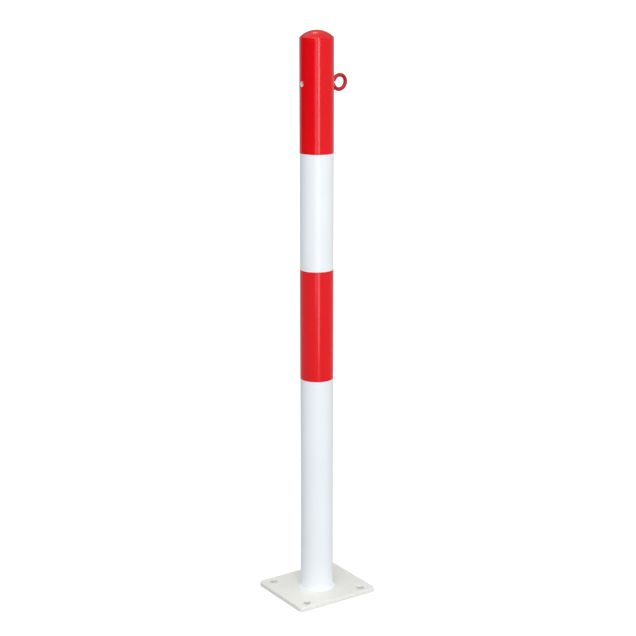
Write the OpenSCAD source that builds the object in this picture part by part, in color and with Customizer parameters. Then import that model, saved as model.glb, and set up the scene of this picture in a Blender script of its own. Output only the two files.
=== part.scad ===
// Chain post for a barrier: a painted round steel tube with a domed cap, welded upright on a
// drilled base plate. A chain eye is screwed into one side, and a spare threaded insert sits
// opposite it for a second eye. Millimetres, +Z up. The origin is the centre of the base
// plate's underside, and +X points towards the chain eye.

/* [Post tube] */
// Outer diameter of the tube
post_d = 60; // [54:1:76]
// Wall thickness of the tube
post_wall = 2.5; // [2:0.1:4]
// Height from the ground to the top of the dome
overall_h = 1031; // [1000:1:1200]

/* [Dome cap] */
// Thickness of the cap's steel
cap_wall = 2.5; // [2:0.1:2.8]
// Radius of the domed crown
cap_crown_r = 42; // [40:1:60]
// Radius of the rounded rim, where the crown meets the tube
cap_rim_r = 3; // [3:0.5:5]

/* [Paint] */
// Height at which the red top section starts
top_red_from = 820; // [700:1:860]
// Height at which the lower red band ends
low_band_to = 613; // [500:1:690]
// Height at which the lower red band starts
low_band_from = 412; // [200:1:490]
// Thickness of the red coat over the white one
coat_t = 0.2; // [0.1:0.05:0.4]

/* [Base plate] */
// Length of the plate, along the line of the chain
plate_l = 166; // [160:1:220]
// Width of the plate
plate_w = 146; // [142:1:200]
// Thickness of the plate
plate_t = 8; // [5:0.5:12]
// Radius of the plate's corners
plate_corner_r = 8; // [2:0.5:12]
// Distance between the anchor holes along the plate
bolt_spacing_l = 120; // [110:1:130]
// Distance between the anchor holes across the plate
bolt_spacing_w = 113; // [104:1:116]
// Diameter of the anchor holes
bolt_hole_d = 14; // [10:0.5:16]

/* [Welds] */
// How far the foot weld spreads over the plate
foot_weld_out = 5.5; // [3:0.5:8]
// How far the foot weld climbs up the tube
foot_weld_up = 14; // [4:0.5:16]
// Width of the groove between cap and tube that the cap weld fills
cap_weld_h = 3; // [2:0.5:3.5]

/* [Chain eye] */
// Height of the chain eye and of the spare insert
eye_h = 940; // [900:1:960]
// Inner diameter of the eye's loop
eye_id = 18; // [14:0.5:24]
// Diameter of the eye's wire
eye_wire_d = 7; // [6:0.5:8]
// Gap between the loop and the painted tube
eye_gap = 1.3; // [1:0.1:5]
// Angle by which the loop stands off the upright where its thread is tight, in degrees
eye_twist = 5; // [0:1:45]

/* [Threaded inserts] */
// Core diameter of the thread, here for M8
thread_core_d = 6.8; // [5:0.1:7]
// Length of the thread
thread_len = 9.5; // [6:0.5:12]
// Outer diameter of the insert's barrel and of the tube's side holes
barrel_d = 11; // [10:0.5:11]
// Diameter of the insert's flange
flange_d = 11.8; // [11.6:0.2:15]
// Diameter of the bulge that clamps the insert behind the wall
bulge_d = 14; // [13:0.5:15]

/* [Hidden] */
$fn = 96;
cut = 1; // how far a cutting shape reaches past what it cuts

post_r = post_d / 2;
inner_r = post_r - post_wall;
coat_r = post_r + coat_t;

// The dome's outline from the tube's end up: a short straight skirt, a rim arc and a crown arc,
// each tangent to the next. The two arcs meet crown_spread degrees off the upright axis.
skirt_h = cap_weld_h / 2;
rim_centre_r = post_r - cap_rim_r;
crown_spread = asin(rim_centre_r / (cap_crown_r - cap_rim_r));
crown_centre_z = skirt_h - (cap_crown_r - cap_rim_r) * cos(crown_spread);
dome_rise = crown_centre_z + cap_crown_r;
tube_top = overall_h - dome_rise;

// The cap weld fills a V groove with 45-degree walls, half of it cut from the tube and half
// from the cap's skirt
groove_depth = cap_weld_h / 2;
weld_low_z = tube_top - groove_depth;

// The foot weld's thin edges, and where its hollow face is thickest, as shares of its spread
// over the plate and of its climb up the tube
weld_toe_t = 0.5;
weld_top_t = 0.3;
throat_out = 0.32;
throat_up = 0.3;

// Stations along X of an insert: flange face, bulge, and the two ends of the thread
flange_t = 0.6;
flange_face_x = coat_r + flange_t;
bulge_len = 4;
thread_mouth_x = inner_r - bulge_len;
thread_end_x = thread_mouth_x - thread_len;
mouth_step = 0.7; // how much wider than the thread's core the mouth is all round
mouth_d = thread_core_d + 2 * mouth_step;

loop_r = (eye_id + eye_wire_d) / 2;
loop_x = coat_r + eye_gap + eye_wire_d / 2 + loop_r;
thread_play = 0.05; // free space all round the shank in its insert
shank_r = thread_core_d / 2 - thread_play;
shank_tip = 1; // how far the shank comes out of the insert inside the tube

red = "#dc141e";
white = "#eef1f2";
zinc = "#c4c6c8";

// A cylinder that lies along X, from x0 to x1, at the height of the chain eye
module x_rod(x0, x1, r) {
    translate([x0, 0, eye_h]) rotate([0, 90, 0]) cylinder(r = r, h = x1 - x0);
}

// A pipe that stands on z0
module upright_ring(z0, h, outer, inner) {
    translate([0, 0, z0]) difference() {
        cylinder(r = outer, h = h);
        translate([0, 0, -cut]) cylinder(r = inner, h = h + 2 * cut);
    }
}

// The space under the dome as a flat half section, drawn in by inset and open-ended below
module dome_outline(inset) {
    rim_r = cap_rim_r - inset;
    crown_r = cap_crown_r - inset;
    translate([0, -cap_weld_h]) square([post_r - inset, cap_weld_h + skirt_h]);
    translate([rim_centre_r, skirt_h]) intersection() {
        circle(r = rim_r);
        square([rim_r, rim_r]);
    }
    intersection() {
        translate([0, crown_centre_z]) circle(r = crown_r);
        translate([0, skirt_h]) square([crown_r * sin(crown_spread), crown_r]);
    }
}

// The V groove's flat section, which reaches past the wall's outer surface
module groove_outline() {
    reach = groove_depth + cut;
    translate([post_r - groove_depth, 0]) polygon([[0, 0], [reach, -reach], [reach, reach]]);
}

module base_plate() {
    color(white) difference() {
        linear_extrude(plate_t) union() {
            square([plate_l - 2 * plate_corner_r, plate_w], center = true);
            square([plate_l, plate_w - 2 * plate_corner_r], center = true);
            for (sx = [-1, 1], sy = [-1, 1])
                translate([sx * (plate_l / 2 - plate_corner_r), sy * (plate_w / 2 - plate_corner_r)])
                    circle(r = plate_corner_r);
        }
        for (sx = [-1, 1], sy = [-1, 1])
            translate([sx * bolt_spacing_l / 2, sy * bolt_spacing_w / 2, -cut])
                cylinder(d = bolt_hole_d, h = plate_t + 2 * cut);
    }
}

module post_tube() {
    color(white) difference() {
        upright_ring(plate_t, tube_top - plate_t, post_r, inner_r);
        x_rod(-post_d, post_d, barrel_d / 2);
        translate([0, 0, tube_top]) rotate_extrude() groove_outline();
    }
}

module foot_weld() {
    color(white) translate([0, 0, plate_t]) rotate_extrude()
        translate([post_r, 0])
            polygon([[0, 0], [foot_weld_out, 0], [foot_weld_out, weld_toe_t],
                     [foot_weld_out * throat_out, foot_weld_up * throat_up],
                     [weld_top_t, foot_weld_up], [0, foot_weld_up]]);
}

module dome_cap() {
    color(red) translate([0, 0, tube_top]) difference() {
        rotate_extrude() difference() {
            dome_outline(0);
            dome_outline(cap_wall);
            translate([0, -post_r]) square([post_d, post_r]);
        }
        rotate_extrude() groove_outline();
    }
}

module cap_weld() {
    color(red) translate([0, 0, tube_top]) rotate_extrude()
        polygon([[post_r - groove_depth, 0], [post_r, -groove_depth],
                 [coat_r, -groove_depth], [post_r, groove_depth]]);
}

module top_red_coat() {
    color(red) difference() {
        upright_ring(top_red_from, weld_low_z - top_red_from, coat_r, post_r);
        x_rod(-post_d, post_d, barrel_d / 2);
    }
}

module low_red_band() {
    color(red) upright_ring(low_band_from, low_band_to - low_band_from, coat_r, post_r);
}

module chain_eye() {
    color(red) union() {
        x_rod(thread_end_x - shank_tip, loop_x - loop_r, shank_r);
        translate([loop_x, 0, eye_h]) rotate([90 + eye_twist, 0, 0])
            rotate_extrude() translate([loop_r, 0]) circle(d = eye_wire_d);
    }
}

// A blind rivet nut set in the tube's wall, its mouth towards +X
module insert() {
    color(zinc) difference() {
        union() {
            x_rod(thread_end_x, flange_face_x, barrel_d / 2);
            difference() {
                x_rod(inner_r, flange_face_x, flange_d / 2);
                cylinder(r = coat_r, h = overall_h);
            }
            intersection() {
                x_rod(thread_mouth_x, post_r, bulge_d / 2);
                cylinder(r = inner_r, h = overall_h);
            }
        }
        x_rod(thread_mouth_x, post_d, mouth_d / 2);
        x_rod(0, post_d, thread_core_d / 2);
    }
}

module eye_insert() {
    insert();
}

module spare_insert() {
    rotate([0, 0, 180]) insert();
}

base_plate();
post_tube();
foot_weld();
dome_cap();
cap_weld();
top_red_coat();
low_red_band();
chain_eye();
eye_insert();
spare_insert();
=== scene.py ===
import math

import bmesh
import bpy
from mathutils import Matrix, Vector
from mathutils.geometry import tessellate_polygon


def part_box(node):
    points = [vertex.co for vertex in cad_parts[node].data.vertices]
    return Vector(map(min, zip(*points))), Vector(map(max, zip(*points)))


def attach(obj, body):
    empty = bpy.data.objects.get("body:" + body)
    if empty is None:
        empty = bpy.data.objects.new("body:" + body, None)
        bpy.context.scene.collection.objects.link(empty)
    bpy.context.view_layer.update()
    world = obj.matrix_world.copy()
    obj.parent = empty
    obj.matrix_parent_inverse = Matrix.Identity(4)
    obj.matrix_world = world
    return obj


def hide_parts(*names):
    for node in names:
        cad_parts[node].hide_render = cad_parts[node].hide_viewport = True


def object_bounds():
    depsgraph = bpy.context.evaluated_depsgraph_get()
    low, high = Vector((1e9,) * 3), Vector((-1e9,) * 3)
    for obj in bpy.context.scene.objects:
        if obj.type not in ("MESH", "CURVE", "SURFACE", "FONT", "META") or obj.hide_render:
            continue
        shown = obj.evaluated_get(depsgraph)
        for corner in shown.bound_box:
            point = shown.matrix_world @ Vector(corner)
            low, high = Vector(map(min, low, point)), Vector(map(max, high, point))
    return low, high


# The looks of a painted steel chain post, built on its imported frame. Metres, +Z up, +X towards
# the chain eye. Places come from the CAD nodes' boxes. The sizes below repeat those of the CAD
# model, or are of details that are too fine for it.

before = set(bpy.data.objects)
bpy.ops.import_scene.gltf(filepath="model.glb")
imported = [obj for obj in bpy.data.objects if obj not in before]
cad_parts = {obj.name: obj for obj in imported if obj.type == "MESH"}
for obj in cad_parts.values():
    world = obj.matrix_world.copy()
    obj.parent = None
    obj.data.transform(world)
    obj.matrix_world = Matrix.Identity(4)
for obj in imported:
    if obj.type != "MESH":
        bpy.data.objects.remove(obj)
cad_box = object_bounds()

# ---------------------------------------------------------------- camera and studio
VIEW_AZIMUTH = -33.9
CAMERA_REACH = 2.536            # from the post's axis, level with the floor
CAMERA_HEIGHT = 1.159
CAMERA_TILT = 14.076            # degrees below level
CAMERA_PAN = 0.051              # degrees to the right of the post's axis
CAMERA_LENS = 82.58             # millimetres, on the usual 36 mm sensor
CAMERA_RANGE = 100.0            # how far it sees, which takes in the whole floor

FLOOR_RADIUS = 40.0
FLOOR_SIDES = 96
FLOOR_BELOW = 0.0004            # how far the floor lies under the plate
FLOOR_FADE = (0.16, 0.45)       # between these radii the floor fades to white
FLOOR_GLOW = (0.25, 0.6)        # its own brightness at those radii
FLOOR_TONES = ((0.94, 0.94, 0.94), (0.96, 0.96, 0.96))
PATCH_SHARE = 0.96              # size of the shaded ground under the plate, as a share of it
# the patch's colours, dark as painted shade under the plate
PATCH_TONES_PAINTED_SHADE = ((0.10, 0.10, 0.10), (0.14, 0.14, 0.13))
MATT = 0.9                      # roughness of floor and ground

# Each lamp's name, its degrees round from the camera's side, distance, height, width, height of
# its face, brightness, colour, and the height on the post that it is aimed at
LAMPS = (
    ("key_strip", 14.3, 2.4, 1.1, 0.44, 2.6, 3.7, (1.0, 0.99, 0.97), 1.1),
    ("key_top", 15.0, 2.38, 1.3, 0.16, 1.36, 4.6, (1.0, 0.99, 0.97), 1.3),
    ("fill_strip", -3.0, 3.0, 1.2, 0.8, 2.7, 1.5, (1.0, 1.0, 1.0), 1.2),
    ("overhead", -10.0, 2.4, 4.7, 3.4, 2.6, 1.9, (1.0, 0.98, 0.94), 0.5),
    ("back_lamp", -174.0, 1.25, 2.9, 0.35, 0.35, 4.0, (1.0, 1.0, 1.0), 1.0),
)

# ---------------------------------------------------------------- the paints
# Each paint's colour and its shade where it is thinner
WHITE = ((0.805, 0.852, 0.89), (0.785, 0.833, 0.875))
# The plate's white is the tube's white coat made warmer: painted warm light from above
PLATE_WHITE_WARM_PAINTED_LIGHT = ((0.83, 0.83, 0.80), (0.81, 0.81, 0.785))
RED = ((0.745, 0.002, 0.007), (0.715, 0.002, 0.007))
# The cap's red is the tube's red coat made darker: painted shade on the dome
CAP_RED_PAINTED_SHADE = ((0.665, 0.002, 0.007), (0.64, 0.002, 0.007))
# The eye's red is the tube's red coat made much darker: painted shade on the loop
EYE_RED_PAINTED_SHADE = ((0.49, 0.003, 0.012), (0.46, 0.003, 0.012))
DUST_ON_WHITE = (0.52, 0.50, 0.46)
DUST_ON_RED = (0.30, 0.02, 0.02)
# The zinc's yellow and blue bloom is its own; its near-white paleness is painted highlight in the
# bore
ZINC_TONES_PAINTED_HIGHLIGHT = ((0.93, 0.89, 0.87), (0.88, 0.88, 0.90))

DUST_TOP = 0.03                 # height that the road dust reaches
DUST_SHARE = 0.16               # how much of it lies at the ground
GLOSS_DRIFT = (-0.025, 0.035)   # how far the paint's roughness strays from its own value
PAINT_SPECULAR = 0.42
PEEL_DEPTH = 0.00012            # of the orange peel, before each paint's own strength
NIB_SIZE = 0.09                 # of the dust nibs, as a share of the space between them
NIB_DEPTH = 0.00005
SHEAR_STRETCH = 0.06            # how drawn out the sheared edge's lines are, 1 being not at all
SHEAR_DEPTH = 0.00012
STEEP = (0.25, 0.02)            # upward part of the normal where the lines start and are full
ZINC_METALLIC = 0.35
TURNING_STRETCH = 14.0          # how close the turning marks are along the insert's axis
TURNING_DEPTH = 0.00003

# ---------------------------------------------------------------- the steel
TUBE_SIDES = 192
TUBE_WALL = 0.0025
COAT = 0.0002                   # thickness of the red coat over the white one
COAT_LIP = 0.00014              # how far the red coat's masked edge is rounded
LIP_DRAWN_IN = 0.7              # how far the lip's foot is drawn in, as a share of COAT_LIP
MASK_WANDER = 0.00018           # how far the masked edge wanders up and down
MASK_WAVES = ((2, 0.5, 1), (5, 0.3, 3), (11, 0.2, 7))   # waves round the tube, share, shift
TOP_EDGE_SHIFT = 1.0            # where round the tube each masked edge's waves start
BAND_EDGE_SHIFTS = (2.0, 4.0)
ON_AXIS = 1e-6                  # an outline's point nearer to the axis than this is on it
HAIR = 1e-7                     # two sizes that differ by less are the same

PLATE_CORNER = 0.008
PLATE_ARRIS = 0.0011            # rounding of the plate's upper edges under the paint
PLATE_FOOT_ARRIS = 0.0005
ARC_STEPS = 6                   # faces in a small quarter round
SUPPORT = 0.0006                # width of the flat strip that keeps the plate's shading flat
BOLT_SPACING = (0.120, 0.113)
BOLT_HOLE_R = 0.007
HOLE_ARRIS = 0.0008
HOLE_SIDES = 64

FOOT_WELD_OUT = 0.0055
FOOT_WELD_UP = 0.014
FOOT_WELD_FULL = 1.05           # 1 is a quarter ellipse, more is a fuller fillet
FOOT_WELD_STEPS = 14
FOOT_WELD_SIDES = 3 * TUBE_SIDES
FOOT_WELD_RIPPLES = 58
FOOT_WELD_RIPPLE = 0.00016
FOOT_WELD_SWAY = 0.6            # how unevenly the ripples follow each other round the tube
FOOT_WELD_BOW = 2.4             # how far each ripple bows forward between its ends
WELD_PROUD = 0.00005            # how far the weld's thin edges stand off the paint they run out on
CAP_WELD_H = 0.003
CAP_WELD_STEPS = 8
CAP_WELD_SIDES = 2 * TUBE_SIDES
CAP_WELD_HOLLOW = 0.35          # how hollow its face is, as a share of the coat's thickness
CAP_WELD_RIPPLE = 0.00003
CAP_WELD_WAVES = ((23, 1.0, 0.0), (37, 0.6, 1.0), (71, 0.5, 0.0))   # count, share, shift

CAP_WALL = 0.0025
CAP_CROWN_R = 0.042
CAP_RIM_R = 0.003
CAP_RIM_STEPS = 12
CAP_CROWN_STEPS = 48

EYE_WIRE_R = 0.0035
EYE_INNER_R = 0.009
EYE_TWIST = math.radians(5)
EYE_NECK_TURN = 60              # degrees by which the wire bends off the shank into the loop
EYE_END_TURN = 170              # where on the loop the wire's blunt end is, in degrees
EYE_TIP = 0.0006                # chamfer of the shank's tip, and rounding of the wire's end
EYE_THREAD_DEPTH = 0.00045
EYE_NECK_PULLS = (0.008, 0.0045)    # how long the neck's curve keeps its course at either end
EYE_NECK_STEPS = 14
EYE_LOOP_STEPS = 72
WIRE_SIDES = 32

BARREL_R = 0.0055
FLANGE_R = 0.0059
FLANGE_T = 0.0006
BULGE_R = 0.007
BULGE_LEN = 0.004
FLANGE_COAT = 0.00015           # the tube's paint also covers the flange
MOUTH_R = 0.0041
MOUTH_CHAMFER = 0.0006
BORE_CHAMFER = 0.0003           # at the thread's two ends and on the barrel's inner end
THREAD_CORE_R = 0.0034
THREAD_ROOT_R = 0.0040
THREAD_LEN = 0.0095
THREAD_PITCH = 0.00125
THREAD_PLAY = 0.00005
THREAD_RINGS_A_TURN = 8
INSERT_SIDES = 48

CREASE = math.radians(38)


# ---------------------------------------------------------------- node helpers
def new_nodes(material_name):
    material = bpy.data.materials.new(material_name)
    material.use_nodes = True
    tree = material.node_tree
    shader = tree.nodes["Principled BSDF"]
    return material, tree, shader


def node(tree, kind, **settings):
    """A new shader node, with its inputs set by name and its other settings by attribute."""
    made = tree.nodes.new(kind)
    for key, value in settings.items():
        if key in made.inputs:
            made.inputs[key].default_value = value
        else:
            setattr(made, key, value)
    return made


def noise(tree, place, scale, detail=2.0, roughness=0.5):
    made = node(tree, "ShaderNodeTexNoise", Scale=scale, Detail=detail, Roughness=roughness)
    tree.links.new(place, made.inputs["Vector"])
    return made.outputs["Fac"]


def spread(tree, value, low, high, to_low, to_high):
    """value, remapped from low..high to to_low..to_high and clamped there."""
    made = node(tree, "ShaderNodeMapRange")
    for key, number in (("From Min", low), ("From Max", high),
                        ("To Min", to_low), ("To Max", to_high)):
        made.inputs[key].default_value = number
    tree.links.new(value, made.inputs["Value"])
    return made.outputs["Result"]


def mix_colour(tree, share, first, second):
    """A mix of two colours, each a colour or another node's output."""
    made = tree.nodes.new("ShaderNodeMix")
    made.data_type = "RGBA"
    tree.links.new(share, made.inputs[0])
    for socket, colour in ((made.inputs[6], first), (made.inputs[7], second)):
        if isinstance(colour, tuple):
            socket.default_value = (*colour, 1.0)
        else:
            tree.links.new(colour, socket)
    return made.outputs[2]


def fade(tree, value, low, high, first, second):
    """The first colour where value is low or less, the second where it is high or more."""
    return mix_colour(tree, spread(tree, value, low, high, 0.0, 1.0), first, second)


def split(tree, vector):
    made = tree.nodes.new("ShaderNodeSeparateXYZ")
    tree.links.new(vector, made.inputs[0])
    return made.outputs


def stretched(tree, place, scale):
    made = node(tree, "ShaderNodeMapping")
    made.inputs["Scale"].default_value = scale
    tree.links.new(place, made.inputs["Vector"])
    return made.outputs["Vector"]


def product(tree, first, second):
    made = node(tree, "ShaderNodeMath", operation="MULTIPLY")
    tree.links.new(first, made.inputs[0])
    tree.links.new(second, made.inputs[1])
    return made.outputs[0]


def bump(tree, height, strength, distance, under=None):
    made = node(tree, "ShaderNodeBump", Strength=strength, Distance=distance)
    tree.links.new(height, made.inputs["Height"])
    if under is not None:
        tree.links.new(under, made.inputs["Normal"])
    return made.outputs["Normal"]


def object_place(tree):
    return tree.nodes.new("ShaderNodeTexCoord").outputs["Object"]


# ---------------------------------------------------------------- materials
def powder_coat(name, shades, dusty_colour, roughness, peel):
    """Stoved powder coat: orange peel, a slow drift of gloss and shade, pin-prick dust nibs, and
    a greyer film of road dust towards the ground. shades are its colour and its thin one."""
    material, tree, shader = new_nodes(name)
    place = object_place(tree)
    drift = noise(tree, place, 9.0, detail=3.0)
    grain = noise(tree, place, 140.0, detail=4.0, roughness=0.6)
    toned = fade(tree, drift, 0.35, 0.65, *shades)

    low_down = spread(tree, split(tree, place)["Z"], 0.0, DUST_TOP, DUST_SHARE, 0.0)
    dusty = product(tree, low_down, spread(tree, grain, 0.48, 0.72, 0.0, 1.0))
    tree.links.new(mix_colour(tree, dusty, toned, dusty_colour), shader.inputs["Base Color"])

    glossy, dull = (roughness + stray for stray in GLOSS_DRIFT)
    tree.links.new(spread(tree, grain, 0.3, 0.75, glossy, dull), shader.inputs["Roughness"])
    shader.inputs["Specular IOR Level"].default_value = PAINT_SPECULAR
    peel_relief = noise(tree, place, 520.0, detail=1.5)
    soft = bump(tree, peel_relief, peel, PEEL_DEPTH)
    nibs = node(tree, "ShaderNodeTexVoronoi", Scale=210.0, feature="F1")
    tree.links.new(place, nibs.inputs["Vector"])
    nib = spread(tree, nibs.outputs["Distance"], 0.0, NIB_SIZE, 1.0, 0.0)
    tree.links.new(bump(tree, nib, 0.25, NIB_DEPTH, soft), shader.inputs["Normal"])
    return material


def cut_edge_coat(name, shades, dusty_colour, roughness, peel):
    """The plate's powder coat: the sheared edge's fine upright lines show through it where the
    surface is steep."""
    material = powder_coat(name, shades, dusty_colour, roughness, peel)
    tree = material.node_tree
    shader = tree.nodes["Principled BSDF"]
    place = object_place(tree)
    lines = noise(tree, stretched(tree, place, (1.0, 1.0, SHEAR_STRETCH)), 900.0, roughness=0.7)
    surface = tree.nodes.new("ShaderNodeNewGeometry")
    steep = spread(tree, split(tree, surface.outputs["Normal"])["Z"], *STEEP, 0.0, 1.0)
    edge_relief = product(tree, lines, steep)
    under = shader.inputs["Normal"].links[0].from_socket
    tree.links.new(bump(tree, edge_relief, 0.35, SHEAR_DEPTH, under), shader.inputs["Normal"])
    return material


def zinc_plated(name):
    """Zinc over steel: a faint yellow and blue bloom, turning marks, dull spots. Its near-white
    colour, with little metal to it, is painted highlight that makes the bore read bright.
    """
    material, tree, shader = new_nodes(name)
    place = object_place(tree)
    bloom = noise(tree, place, 260.0, detail=3.0)
    spots = noise(tree, place, 1500.0, detail=3.0, roughness=0.65)
    tree.links.new(fade(tree, bloom, 0.35, 0.65, *ZINC_TONES_PAINTED_HIGHLIGHT), shader.inputs["Base Color"])
    shader.inputs["Metallic"].default_value = ZINC_METALLIC
    tree.links.new(spread(tree, spots, 0.3, 0.7, 0.38, 0.55), shader.inputs["Roughness"])
    turning = noise(tree, stretched(tree, place, (TURNING_STRETCH, 1.0, 1.0)), 900.0)
    tree.links.new(bump(tree, turning, 0.18, TURNING_DEPTH), shader.inputs["Normal"])
    return material


def pale_floor(name):
    """A pale studio floor that fades into the white surroundings away from the post."""
    material, tree, shader = new_nodes(name)
    place = object_place(tree)
    tree.links.new(mix_colour(tree, noise(tree, place, 6.0), *FLOOR_TONES),
                   shader.inputs["Base Color"])
    shader.inputs["Roughness"].default_value = MATT
    shader.inputs["Specular IOR Level"].default_value = 0.0
    away = node(tree, "ShaderNodeVectorMath", operation="LENGTH")
    tree.links.new(place, away.inputs[0])
    glow = spread(tree, away.outputs["Value"], *FLOOR_FADE, *FLOOR_GLOW)
    shader.inputs["Emission Color"].default_value = (1.0, 1.0, 1.0, 1.0)
    tree.links.new(glow, shader.inputs["Emission Strength"])
    return material


# ---------------------------------------------------------------- mesh helpers
def add_piece(name, points, faces, material, body, stands_for):
    """A closed mesh as a piece of the object, its faces turned outwards."""
    mesh = bpy.data.meshes.new(name)
    mesh.from_pydata([tuple(p) for p in points], [], faces)
    shape = bmesh.new()
    shape.from_mesh(mesh)
    bmesh.ops.recalc_face_normals(shape, faces=shape.faces)
    shape.to_mesh(mesh)
    shape.free()
    mesh.shade_smooth()
    mesh.set_sharp_from_angle(angle=CREASE)
    mesh.materials.append(material)
    piece = bpy.data.objects.new(name, mesh)
    bpy.context.scene.collection.objects.link(piece)
    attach(piece, body)
    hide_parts(stands_for)
    return piece


def eased(corners, steps=ARC_STEPS):
    """A closed outline with rounded corners. Each corner is (across, up, reach), and reach is how
    far from the corner its rounding starts."""
    points = []
    for i, (across, up, reach) in enumerate(corners):
        corner = Vector((across, up))
        if not reach:
            points.append(corner)
            continue
        before = Vector(corners[i - 1][:2]) - corner
        after = Vector(corners[(i + 1) % len(corners)][:2]) - corner
        start, end = corner + before.normalized() * reach, corner + after.normalized() * reach
        for k in range(steps + 1):
            t = k / steps
            points.append(start * (1 - t) ** 2 + corner * 2 * t * (1 - t) + end * t ** 2)
    return points


def join_rings(faces, first, second):
    """Adds the faces between two rings of point numbers. A ring may be one point repeated."""
    count = len(first)
    for j in range(count):
        k = (j + 1) % count
        face = []
        for number in (first[j], first[k], second[k], second[j]):
            if number not in face:
                face.append(number)
        if len(face) > 2:
            faces.append(face)


def turned(outline, sides, shape=None):
    """Turns a closed outline of (radius, height) about the upright axis. shape(radius, height,
    angle) may move a point a little."""
    points, faces, rings = [], [], []
    for radius, height in outline:
        if radius < ON_AXIS:
            rings.append([len(points)] * sides)
            points.append((0.0, 0.0, height))
            continue
        rings.append(list(range(len(points), len(points) + sides)))
        for j in range(sides):
            angle = 2 * math.pi * j / sides
            r, z = shape(radius, height, angle) if shape else (radius, height)
            points.append((r * math.cos(angle), r * math.sin(angle), z))
    for i in range(len(rings)):
        join_rings(faces, rings[i - 1], rings[i])
    return points, faces


def mask_edge(angle, start):
    """How far a masked paint edge wanders at that angle round the tube."""
    return MASK_WANDER * sum(share * math.sin(count * angle + shift * start)
                             for count, share, shift in MASK_WAVES)


# ---------------------------------------------------------------- sleeves
class Sleeve:
    """A pipe with a round hole in each side, laid out as a fine grid round two square patches.
    Its lower edge wanders as a masked one does if edge_start is given."""

    HALF = 8                    # half a patch's width, in grid cells
    STEPS = 5                   # steps from a patch's square border to its hole's rim

    def __init__(self, low, high, hole_height, edge_start=None):
        self.points, self.faces = [], []
        self.low, self.high, self.hole_height = low, high, hole_height
        self.edge_start = edge_start

    def rows(self, cell, lip):
        """The heights of the grid's rows, with two more close to the lower edge for a lip."""
        inside = [self.hole_height + cell * k for k in range(-self.HALF, self.HALF + 1)]
        lowest = [self.low, self.low + lip, self.low + 2 * lip] if lip else [self.low]
        return lowest + inside + [self.high]

    def height_at(self, row, angle):
        """A row's height at that angle. Only the rows of the lip wander."""
        wander = 0.0
        if self.edge_start is not None and row < self.low + 3 * COAT_LIP:
            wander = mask_edge(angle, self.edge_start)
        return row + wander

    def add(self, radius, angle, height):
        self.points.append((radius * math.cos(angle), radius * math.sin(angle), height))
        return len(self.points) - 1

    def wall(self, radius, cell, lip):
        """One of the pipe's two walls. Returns its lowest and highest rings and its hole rims."""
        rows = self.rows(cell, lip)
        grid = []
        for n, row in enumerate(rows):
            drawn_in = COAT_LIP * LIP_DRAWN_IN if lip and n == 0 else 0.0
            ring = []
            for j in range(TUBE_SIDES):
                angle = 2 * math.pi * j / TUBE_SIDES
                ring.append(self.add(radius - drawn_in, angle, self.height_at(row, angle)))
            grid.append(ring)
        first = 3 if lip else 1     # the row on the patches' lower border
        last = first + 2 * self.HALF
        rims = []
        for side in (0, TUBE_SIDES // 2):
            columns = [(side + k) % TUBE_SIDES for k in range(-self.HALF, self.HALF + 1)]
            rims.append(self.patch(radius, grid[first:last + 1], columns, side))
        for n in range(len(rows) - 1):
            for j in range(TUBE_SIDES):
                off_centre = (j + self.HALF) % (TUBE_SIDES // 2)
                if first <= n < last and off_centre < 2 * self.HALF:
                    continue
                k = (j + 1) % TUBE_SIDES
                self.faces.append([grid[n][j], grid[n][k], grid[n + 1][k], grid[n + 1][j]])
        return grid[0], grid[-1], rims

    def patch(self, radius, block, columns, side):
        """The square patch round one hole: rings that pass from the square to the hole's rim.
        Returns the rim."""
        h = self.HALF
        walk = ([(h, v) for v in range(-h, h)] + [(u, h) for u in range(h, -h, -1)]
                + [(-h, v) for v in range(h, -h, -1)] + [(u, -h) for u in range(-h, h)])
        facing = 2 * math.pi * side / TUBE_SIDES
        square = [block[v + h][columns[u + h]] for u, v in walk]
        ring = square
        for step in range(1, self.STEPS + 1):
            share = step / self.STEPS
            inner = []
            for (u, v), corner in zip(walk, square):
                turn = math.atan2(v, u)
                across = BARREL_R * math.cos(turn)
                hole_angle = math.asin(across / radius)
                hole_up = BARREL_R * math.sin(turn)
                edge_angle = 2 * math.pi * u / TUBE_SIDES
                edge_up = self.points[corner][2] - self.hole_height
                angle = facing + edge_angle + (hole_angle - edge_angle) * share
                up = edge_up + (hole_up - edge_up) * share
                inner.append(self.add(radius, angle, self.hole_height + up))
            join_rings(self.faces, ring, inner)
            ring = inner
        return ring

    def build(self, outer, inner, lip):
        """The whole pipe between two radii, with a rounded lip on its outer wall's lower edge."""
        cell = 2 * math.pi * outer / TUBE_SIDES
        low_out, high_out, rims_out = self.wall(outer, cell, lip)
        low_in, high_in, rims_in = self.wall(inner, cell, 0.0)
        join_rings(self.faces, low_out, low_in)
        join_rings(self.faces, high_out, high_in)
        for rim_out, rim_in in zip(rims_out, rims_in):
            join_rings(self.faces, rim_out, rim_in)
        return self.points, self.faces


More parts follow.
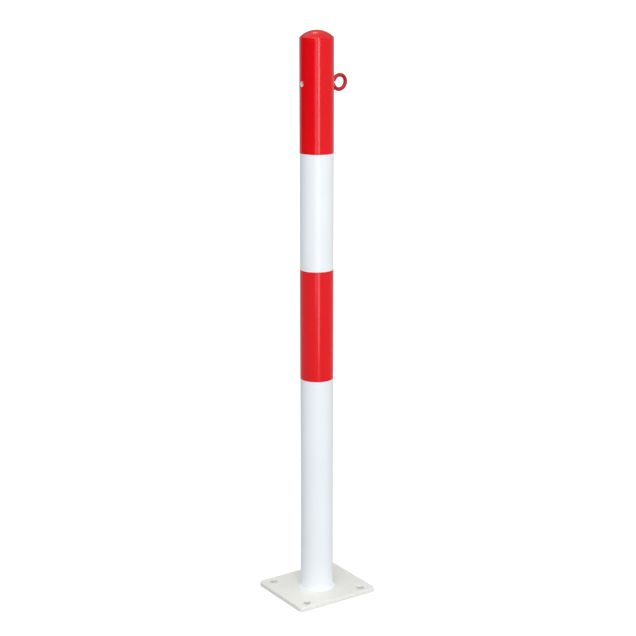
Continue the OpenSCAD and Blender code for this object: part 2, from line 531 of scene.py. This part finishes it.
# ---------------------------------------------------------------- the pieces
def make_plate(material):
    """The drilled plate: rounded strips along its border and holes, between two flat faces."""
    low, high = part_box("base_plate")
    half = ((high.x - low.x) / 2, (high.y - low.y) / 2)
    bottom, top = low.z, high.z

    def outer_loop(inset, height):
        radius = PLATE_CORNER - inset
        loop = []
        for quarter, (sx, sy) in enumerate([(1, 1), (-1, 1), (-1, -1), (1, -1)]):
            cx, cy = sx * (half[0] - PLATE_CORNER), sy * (half[1] - PLATE_CORNER)
            for k in range(ARC_STEPS + 1):
                angle = math.radians(90) * (quarter + k / ARC_STEPS)
                loop.append((cx + radius * math.cos(angle), cy + radius * math.sin(angle), height))
        return loop

    def hole_loop(centre, grow, height):
        loop = []
        for k in range(HOLE_SIDES):
            angle = 2 * math.pi * k / HOLE_SIDES
            r = BOLT_HOLE_R + grow
            loop.append((centre[0] + r * math.cos(angle), centre[1] + r * math.sin(angle), height))
        return loop

    def edge_stations(top_round, foot_round):
        """(distance back from the edge, height) from the flat top round to the flat underside."""
        stations = [(top_round + SUPPORT, top)]
        for k in range(ARC_STEPS + 1):
            t = math.radians(90) * k / ARC_STEPS
            stations.append((top_round * (1 - math.sin(t)), top - top_round * (1 - math.cos(t))))
        for k in range(ARC_STEPS + 1):
            t = math.radians(90) * k / ARC_STEPS
            stations.append((foot_round * (1 - math.cos(t)),
                             bottom + foot_round * (1 - math.sin(t))))
        stations.append((foot_round + SUPPORT, bottom))
        return stations

    points, faces = [], []

    def stitch(loops):
        """Adds a strip of loops. Returns the point numbers of its first and last loops."""
        rings = []
        for loop in loops:
            rings.append(list(range(len(points), len(points) + len(loop))))
            points.extend(loop)
        for first, second in zip(rings, rings[1:]):
            join_rings(faces, first, second)
        return rings[0], rings[-1]

    borders = [stitch([outer_loop(d, z) for d, z in edge_stations(PLATE_ARRIS, PLATE_FOOT_ARRIS)])]
    for sx in (-1, 1):
        for sy in (-1, 1):
            centre = (sx * BOLT_SPACING[0] / 2, sy * BOLT_SPACING[1] / 2)
            borders.append(stitch([hole_loop(centre, d, z)
                                   for d, z in edge_stations(HOLE_ARRIS, PLATE_FOOT_ARRIS)]))
    for end in (0, 1):
        numbers = [n for border in borders for n in border[end]]
        flat = tessellate_polygon([[Vector(points[n]) for n in border[end]] for border in borders])
        faces.extend([[numbers[n] for n in face] for face in flat])
    return add_piece("plate_steel", points, faces, material, "post", "base_plate")


def make_tube(material, eye_height):
    low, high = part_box("post_tube")
    sleeve = Sleeve(low.z, high.z, eye_height)
    points, faces = sleeve.build(high.x, high.x - TUBE_WALL, 0.0)
    return add_piece("tube_wall", points, faces, material, "post", "post_tube")


def make_top_coat(material, eye_height, post_r):
    low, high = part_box("top_red_coat")
    sleeve = Sleeve(low.z, high.z, eye_height, edge_start=TOP_EDGE_SHIFT)
    points, faces = sleeve.build(post_r + COAT, post_r, COAT_LIP)
    return add_piece("red_top_coat", points, faces, material, "post", "top_red_coat")


def make_band(material, post_r):
    low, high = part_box("low_red_band")
    face_r, flat = post_r + COAT, 2 * COAT_LIP
    outline = eased([(post_r, low.z, 0), (face_r, low.z, COAT_LIP), (face_r, low.z + flat, 0),
                     (face_r, high.z - flat, 0), (face_r, high.z, COAT_LIP),
                     (post_r, high.z, 0)], steps=3)
    middle = (low.z + high.z) / 2

    def wander(radius, height, angle):
        return radius, height + mask_edge(angle, BAND_EDGE_SHIFTS[height >= middle])

    points, faces = turned(outline, TUBE_SIDES, wander)
    return add_piece("red_band_coat", points, faces, material, "post", "low_red_band")


def make_foot_weld(material, post_r):
    """The hollow fillet round the tube's foot, with its ripples."""
    low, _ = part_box("foot_weld")
    outline = [(post_r, low.z)]
    for k in range(FOOT_WELD_STEPS + 1):
        t = math.radians(90) * (1 - k / FOOT_WELD_STEPS)
        out = FOOT_WELD_OUT * (1 - max(math.cos(t), 0.0) ** FOOT_WELD_FULL)
        up = FOOT_WELD_UP * (1 - max(math.sin(t), 0.0) ** FOOT_WELD_FULL)
        outline.append((post_r + out + WELD_PROUD, low.z + up + WELD_PROUD))

    def ripple(radius, height, angle):
        out = (radius - post_r) / FOOT_WELD_OUT
        along = (FOOT_WELD_RIPPLES * angle + FOOT_WELD_SWAY * math.sin(3 * angle)
                 + FOOT_WELD_BOW * out * (1 - out))
        mound = FOOT_WELD_RIPPLE * max(0.0, math.sin(math.pi * min(out, 1.0)))
        lift = mound * (abs(math.sin(along / 2)) - 0.5) * 2
        return radius + lift, height + lift

    points, faces = turned(outline, FOOT_WELD_SIDES, ripple)
    return add_piece("foot_bead", points, faces, material, "post", "foot_weld")


def make_cap(material, post_r, tube_top):
    """The pressed cap: a shell whose outline is a rim arc that runs into a wide crown arc."""
    skirt_top = tube_top + CAP_WELD_H / 2
    rim_centre_r = post_r - CAP_RIM_R
    spread_angle = math.asin(rim_centre_r / (CAP_CROWN_R - CAP_RIM_R))
    crown_centre_z = skirt_top - (CAP_CROWN_R - CAP_RIM_R) * math.cos(spread_angle)

    def arc(centre_r, centre_z, radius, start, end, steps):
        """Points of an arc between two angles off the upright axis."""
        line = []
        for k in range(steps + 1):
            t = start + (end - start) * k / steps
            line.append((centre_r + radius * math.sin(t), centre_z + radius * math.cos(t)))
        return line

    def shell(inset):
        rim = arc(rim_centre_r, skirt_top, CAP_RIM_R - inset, math.pi / 2, spread_angle,
                  CAP_RIM_STEPS)
        crown = arc(0.0, crown_centre_z, CAP_CROWN_R - inset, spread_angle, 0.0,
                    CAP_CROWN_STEPS)
        return rim + crown[1:]

    foot = [(post_r - CAP_WALL, tube_top), (post_r - CAP_WELD_H / 2, tube_top)]
    outline = shell(0.0) + shell(CAP_WALL)[::-1] + foot
    points, faces = turned(outline, TUBE_SIDES)
    return add_piece("cap_shell", points, faces, material, "post", "dome_cap")


def make_cap_weld(material, post_r, tube_top):
    """The dressed weld bead: it fills the groove and blends the coat into the cap's rim."""
    half = CAP_WELD_H / 2
    outline = [(post_r - half, tube_top)]
    for k in range(CAP_WELD_STEPS + 1):
        share = k / CAP_WELD_STEPS
        proud = COAT * (1 - share) * (1 - CAP_WELD_HOLLOW * math.sin(math.pi * share))
        outline.append((post_r + proud, tube_top - half + CAP_WELD_H * share))

    def ripple(radius, height, angle):
        share = (height - tube_top + half) / CAP_WELD_H
        mound = max(0.0, math.sin(math.pi * share)) if radius >= post_r - HAIR else 0.0
        wave = sum(part * math.sin(count * angle + shift)
                   for count, part, shift in CAP_WELD_WAVES)
        return radius + CAP_WELD_RIPPLE * mound * wave, height

    points, faces = turned(outline, CAP_WELD_SIDES, ripple)
    return add_piece("cap_bead", points, faces, material, "post", "cap_weld")


def thread_depth(along, angle):
    """0 on a right-hand thread's core and 1 at its crest, at that place along it."""
    phase = (along / THREAD_PITCH - angle / (2 * math.pi)) % 1.0
    return min(1.0, 1.25 * abs(2 * phase - 1))


def insert_ring(points, rings, facing, eye_height, radius_at, x=None, bed=None):
    """Adds a ring round the insert's axis at x, or lying on the upright cylinder of radius bed.
    radius_at gives the radius at an angle."""
    numbers = []
    for j in range(INSERT_SIDES):
        angle = 2 * math.pi * j / INSERT_SIDES
        r = radius_at(angle)
        y, z = r * math.cos(angle), r * math.sin(angle)
        along = math.sqrt(bed * bed - y * y) if bed else x
        numbers.append(len(points))
        points.append((facing * along, facing * y, eye_height + z))
    rings.append(numbers)


def closed_rings(rings):
    """The faces between each ring and the next, and between the last and the first."""
    faces = []
    for i in range(len(rings)):
        join_rings(faces, rings[i - 1], rings[i])
    return faces


def flange_line(inset, face_x):
    """The flange's rounded outline from its mouth to its rim, as pairs of radius and x."""
    edge = FLANGE_T / 2 - inset
    rim_r = FLANGE_R - inset
    line = [(MOUTH_R + MOUTH_CHAMFER, face_x - inset), (rim_r - edge, face_x - inset)]
    for k in range(1, ARC_STEPS + 1):
        t = math.radians(90) * k / ARC_STEPS
        line.append((rim_r - edge * (1 - math.sin(t)), face_x - inset - edge * (1 - math.cos(t))))
    return line


def make_flange_coat(name, material, stands_for, facing, eye_height, post_r):
    """The tube's paint over an insert's flange, as a thin closed shell."""
    coat_r = post_r + COAT
    points, rings = [], []

    def ring(radius, **place):
        insert_ring(points, rings, facing, eye_height, lambda angle: radius, **place)

    for radius, x in flange_line(0.0, coat_r + FLANGE_T):
        ring(radius, x=x)
    ring(FLANGE_R, bed=coat_r)
    ring(FLANGE_R - FLANGE_COAT, bed=coat_r)
    for radius, x in reversed(flange_line(FLANGE_COAT, coat_r + FLANGE_T)):
        ring(radius, x=x)
    return add_piece(name, points, closed_rings(rings), material, "post", stands_for)


def make_insert(name, material, stands_for, facing, eye_height, post_r):
    """A blind rivet nut turned about X: a flange bedded on the coat, a barrel, the bulge that
    clamps behind the wall, and a bore with its thread. facing is +1 or -1 along X."""
    coat_r, inner_r = post_r + COAT, post_r - TUBE_WALL
    face_x = coat_r + FLANGE_T
    mouth_x = inner_r - BULGE_LEN
    end_x = mouth_x - THREAD_LEN
    edge = FLANGE_T / 2
    points, rings = [], []

    def ring(radius, **place):
        insert_ring(points, rings, facing, eye_height, lambda angle: radius, **place)

    def thread_ring(x):
        def radius_at(angle):
            groove = (THREAD_ROOT_R - THREAD_CORE_R) * (1 - thread_depth(x - end_x, angle))
            return THREAD_CORE_R + groove
        insert_ring(points, rings, facing, eye_height, radius_at, x=x)

    for radius, x in flange_line(FLANGE_COAT, face_x):
        ring(radius, x=x)
    ring(FLANGE_R - FLANGE_COAT, bed=coat_r)
    ring(BARREL_R, bed=coat_r)
    ring(BARREL_R, bed=inner_r)
    ring(BULGE_R - edge, bed=inner_r)
    bulge_low, bulge_high = mouth_x + edge, inner_r - edge * 3
    middle, reach = (bulge_high + bulge_low) / 2, (bulge_high - bulge_low) / 2
    for k in range(ARC_STEPS + 1):
        t = math.radians(180) * k / ARC_STEPS
        ring(BULGE_R - edge * (1 - math.sin(t)), x=middle + reach * math.cos(t))
    ring(BARREL_R, x=mouth_x)
    ring(BARREL_R, x=end_x + BORE_CHAMFER)
    ring(BARREL_R - BORE_CHAMFER, x=end_x)
    ring(THREAD_ROOT_R + BORE_CHAMFER, x=end_x)
    turns = THREAD_LEN / THREAD_PITCH
    count = round(turns * THREAD_RINGS_A_TURN)
    for k in range(1, count):
        thread_ring(end_x + THREAD_LEN * k / count)
    ring(THREAD_ROOT_R, x=mouth_x)
    ring(MOUTH_R, x=mouth_x + BORE_CHAMFER)
    ring(MOUTH_R, x=face_x - MOUTH_CHAMFER)
    return add_piece(name, points, closed_rings(rings), material, "post", stands_for)


def make_eye(material, eye_height, post_r):
    """The chain eye: one wire that runs out along its threaded shank, bends away from it and
    goes round the loop until its blunt end nearly meets the neck."""
    low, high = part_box("chain_eye")
    loop_r = EYE_INNER_R + EYE_WIRE_R
    loop_x = high.x - EYE_INNER_R - 2 * EYE_WIRE_R
    up = Vector((0, -math.sin(EYE_TWIST), math.cos(EYE_TWIST)))
    side = Vector((1, 0, 0)).cross(up)
    centre = Vector((loop_x, 0, eye_height))
    core_r = THREAD_CORE_R - THREAD_PLAY
    mouth_x = post_r - TUBE_WALL - BULGE_LEN

    # Each is a place along X from the loop's centre, a height, a heading, the wire's radius
    # there, and whether it is threaded
    stations = []

    def straight(x, radius, threaded=False):
        stations.append((x - loop_x, 0.0, 0.0, radius, threaded))

    straight(low.x, core_r - 2 * EYE_TIP)
    straight(low.x + EYE_TIP, core_r - EYE_TIP)
    thread_from, thread_len = low.x + 2 * EYE_TIP, mouth_x - low.x - 2 * EYE_TIP
    count = round(thread_len / THREAD_PITCH * THREAD_RINGS_A_TURN)
    for k in range(count + 1):
        straight(thread_from + thread_len * k / count, core_r, True)
    straight(mouth_x + EYE_TIP, core_r)
    straight(mouth_x + 2 * EYE_TIP, EYE_WIRE_R)

    neck_start = (mouth_x + 3 * EYE_TIP - loop_x, 0.0)
    turn = math.radians(180 + EYE_NECK_TURN / 2)
    neck_end = (loop_r * math.cos(turn), loop_r * math.sin(turn))
    heading_end = turn + math.radians(90)
    p0, p3 = Vector(neck_start), Vector(neck_end)
    p1 = p0 + Vector((EYE_NECK_PULLS[0], 0))
    p2 = p3 - Vector((math.cos(heading_end), math.sin(heading_end))) * EYE_NECK_PULLS[1]
    for k in range(EYE_NECK_STEPS):
        t = k / EYE_NECK_STEPS
        place = (p0 * (1 - t) ** 3 + p1 * 3 * t * (1 - t) ** 2 + p2 * 3 * t * t * (1 - t)
                 + p3 * t ** 3)
        course = (p1 - p0) * (1 - t) ** 2 + (p2 - p1) * 2 * t * (1 - t) + (p3 - p2) * t * t
        stations.append((place.x, place.y, math.atan2(course.y, course.x), EYE_WIRE_R, False))
    end_turn = math.radians(360 + EYE_END_TURN)
    for k in range(EYE_LOOP_STEPS + 1):
        angle = turn + (end_turn - turn) * k / EYE_LOOP_STEPS
        stations.append((loop_r * math.cos(angle), loop_r * math.sin(angle),
                         angle + math.radians(90), EYE_WIRE_R, False))
    last = stations[-1]
    for k in (1, 2, 3):
        t = math.radians(30 * k)
        stations.append((last[0] + EYE_TIP * math.sin(t) * math.cos(last[2]),
                         last[1] + EYE_TIP * math.sin(t) * math.sin(last[2]),
                         last[2], EYE_WIRE_R - EYE_TIP * (1 - math.cos(t)), False))

    points, rings = [], []
    for along, height, heading, radius, threaded in stations:
        place = centre + Vector((along, 0, 0)) + up * height
        normal = Vector((-math.sin(heading), 0, 0)) + up * math.cos(heading)
        ring = []
        for j in range(WIRE_SIDES):
            angle = 2 * math.pi * j / WIRE_SIDES
            groove = EYE_THREAD_DEPTH * (1 - thread_depth(along, angle)) if threaded else 0.0
            r = radius - groove
            ring.append(len(points))
            points.append(place + normal * (r * math.cos(angle)) - side * (r * math.sin(angle)))
        rings.append(ring)
    faces = []
    for first, second in zip(rings, rings[1:]):
        join_rings(faces, first, second)
    faces.append(rings[0])
    faces.append(rings[-1])
    return add_piece("eye_bolt", points, faces, material, "eye", "chain_eye")


# ---------------------------------------------------------------- studio
def aim(thing, target):
    thing.rotation_euler = (Vector(target) - thing.location).to_track_quat("-Z", "Y").to_euler()


def place_round(azimuth, reach, height):
    """A place at that azimuth round the post, counted as for the camera."""
    a = math.radians(azimuth)
    return Vector((math.sin(a) * reach, -math.cos(a) * reach, height))


def show_plain_colours():
    """Colours are shown as they are, so that white surroundings come out white."""
    bpy.context.scene.view_settings.view_transform = "Standard"


def make_camera():
    data = bpy.data.cameras.new("camera")
    data.lens = CAMERA_LENS
    data.clip_end = CAMERA_RANGE
    camera = bpy.data.objects.new("camera", data)
    camera.location = place_round(VIEW_AZIMUTH, CAMERA_REACH, CAMERA_HEIGHT)
    camera.rotation_euler = (math.radians(90 - CAMERA_TILT), 0.0,
                             math.radians(VIEW_AZIMUTH - CAMERA_PAN))
    bpy.context.scene.collection.objects.link(camera)
    bpy.context.scene.camera = camera


def soft_box(name, azimuth, reach, height, width, tall, radiance, colour, target):
    """A rectangular light. radiance is how bright its face looks, white being 1."""
    data = bpy.data.lights.new(name, "AREA")
    data.shape = "RECTANGLE"
    data.size, data.size_y = width, tall
    data.energy = radiance * math.pi * width * tall
    data.color = colour
    lamp = bpy.data.objects.new(name, data)
    lamp.location = place_round(azimuth, reach, height)
    aim(lamp, target)
    bpy.context.scene.collection.objects.link(lamp)


def make_lights():
    for name, azimuth, reach, height, width, tall, radiance, colour, target in LAMPS:
        soft_box(name, VIEW_AZIMUTH + azimuth, reach, height, width, tall, radiance, colour,
                 (0, 0, target))


def make_surroundings():
    """White to the camera. To the object it is a studio, and left and right are the camera's.
    Low down it is dark on the left, grey on the right, with a grey ground and a pale backdrop.
    Higher up it is bright in front, most of all on the right, and dim at the back. Overhead it
    is white on the left and grey on the right."""
    world = bpy.data.worlds.new("studio")
    bpy.context.scene.world = world
    world.use_nodes = True
    tree = world.node_tree
    background = tree.nodes["Background"]
    direction = tree.nodes.new("ShaderNodeTexCoord").outputs["Generated"]
    up = split(tree, direction)["Z"]

    def towards(azimuth):
        """How far the direction looked in points to that side of the post, from -1 to 1."""
        along = node(tree, "ShaderNodeVectorMath", operation="DOT_PRODUCT")
        along.inputs[1].default_value = place_round(azimuth, 1.0, 0.0)
        tree.links.new(direction, along.inputs[0])
        return along.outputs["Value"]

    right, back = towards(VIEW_AZIMUTH + 90), towards(VIEW_AZIMUTH + 180)
    sides = fade(tree, right, -0.3, 0.4, (0.04, 0.042, 0.045), (0.47, 0.47, 0.47))
    ground_up = fade(tree, up, -0.19, -0.14, (0.50, 0.50, 0.51), sides)
    low = fade(tree, back, 0.40, 0.72, ground_up, (0.75, 0.73, 0.72))
    left_front = fade(tree, right, -0.92, -0.42, (0.58, 0.60, 0.65), (1.42, 1.43, 1.44))
    front = fade(tree, right, 0.35, 1.0, left_front, (1.75, 1.75, 1.70))
    mid = fade(tree, back, 0.0, 0.6, front, (0.24, 0.24, 0.25))
    top = fade(tree, right, -0.5, 0.5, (1.00, 0.99, 0.96), (0.45, 0.44, 0.43))
    over = fade(tree, up, 0.45, 0.80, mid, top)
    studio = fade(tree, up, 0.02, 0.40, low, over)
    seen = tree.nodes.new("ShaderNodeLightPath").outputs["Is Camera Ray"]
    tree.links.new(mix_colour(tree, seen, studio, (1.0, 1.0, 1.0)), background.inputs["Color"])
    background.inputs["Strength"].default_value = 1.0


def make_ground_patch():
    """A sheet right under the plate, so that no light comes up through the anchor holes. Its dark
    colour is painted shade under the plate.
    """
    low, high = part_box("base_plate")
    level = low.z - FLOOR_BELOW / 2
    corners = [(low.x, low.y), (high.x, low.y), (high.x, high.y), (low.x, high.y)]
    mesh = bpy.data.meshes.new("ground_patch")
    mesh.from_pydata([(x * PATCH_SHARE, y * PATCH_SHARE, level) for x, y in corners], [],
                     [(0, 1, 2, 3)])
    material, tree, shader = new_nodes("shaded_ground")
    # dark colour: painted shade where the pale floor lies under the plate
    tree.links.new(mix_colour(tree, noise(tree, object_place(tree), 90.0), *PATCH_TONES_PAINTED_SHADE),
                   shader.inputs["Base Color"])
    shader.inputs["Roughness"].default_value = MATT
    mesh.materials.append(material)
    patch = bpy.data.objects.new("ground_patch", mesh)
    bpy.context.scene.collection.objects.link(patch)


def make_floor():
    """The floor, which only the camera sees: it throws no light or reflection on the object."""
    mesh = bpy.data.meshes.new("floor")
    shape = bmesh.new()
    bmesh.ops.create_circle(shape, cap_ends=True, segments=FLOOR_SIDES, radius=FLOOR_RADIUS)
    shape.to_mesh(mesh)
    shape.free()
    floor = bpy.data.objects.new("floor", mesh)
    floor.location.z = cad_box[0].z - FLOOR_BELOW
    mesh.materials.append(pale_floor("pale_floor"))
    bpy.context.scene.collection.objects.link(floor)
    floor.visible_diffuse = floor.visible_glossy = floor.visible_shadow = False


# ---------------------------------------------------------------- putting it together
def make_object():
    white = powder_coat("white_powder_coat", WHITE, DUST_ON_WHITE, 0.2, 0.2)
    # the plate's coat is a warmer copy of the white, painted warm light from above
    plate_white_painted_light = cut_edge_coat("white_powder_coat_plate_painted_warm_light", PLATE_WHITE_WARM_PAINTED_LIGHT, DUST_ON_WHITE, 0.3, 0.22)
    red = powder_coat("red_powder_coat", RED, DUST_ON_RED, 0.15, 0.14)
    # the cap's coat is a darker copy of the red, painted shade on the dome
    cap_red_painted_shade = powder_coat("red_powder_coat_cap_painted_shade", CAP_RED_PAINTED_SHADE, DUST_ON_RED, 0.15, 0.14)
    # the eye's coat is a much darker copy of the red, painted shade on the loop
    eye_red_painted_shade = powder_coat("red_powder_coat_eye_painted_shade", EYE_RED_PAINTED_SHADE, DUST_ON_RED, 0.2, 0.14)
    # near-white zinc: painted highlight that makes the inserts' bores read bright
    zinc = zinc_plated("zinc_painted_highlight")

    _, tube_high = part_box("post_tube")
    post_r = tube_high.x
    _, cap_weld_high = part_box("cap_weld")
    tube_top = cap_weld_high.z - CAP_WELD_H / 2
    eye_low, eye_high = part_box("chain_eye")
    eye_height = (eye_low.z + eye_high.z) / 2

    make_plate(plate_white_painted_light)
    make_tube(white, eye_height)
    make_foot_weld(white, post_r)
    make_cap(cap_red_painted_shade, post_r, tube_top)
    make_cap_weld(cap_red_painted_shade, post_r, tube_top)
    make_top_coat(red, eye_height, post_r)
    make_band(red, post_r)
    for side, stands_for, facing in (("eye", "eye_insert", 1), ("spare", "spare_insert", -1)):
        make_insert(side + "_rivet_nut", zinc, stands_for, facing, eye_height, post_r)
        make_flange_coat(side + "_flange_coat", red, stands_for, facing, eye_height, post_r)
    make_eye(eye_red_painted_shade, eye_height, post_r)


show_plain_colours()
make_camera()
make_lights()
make_surroundings()
make_floor()
make_ground_patch()
make_object()

bpy.context.view_layer.update()
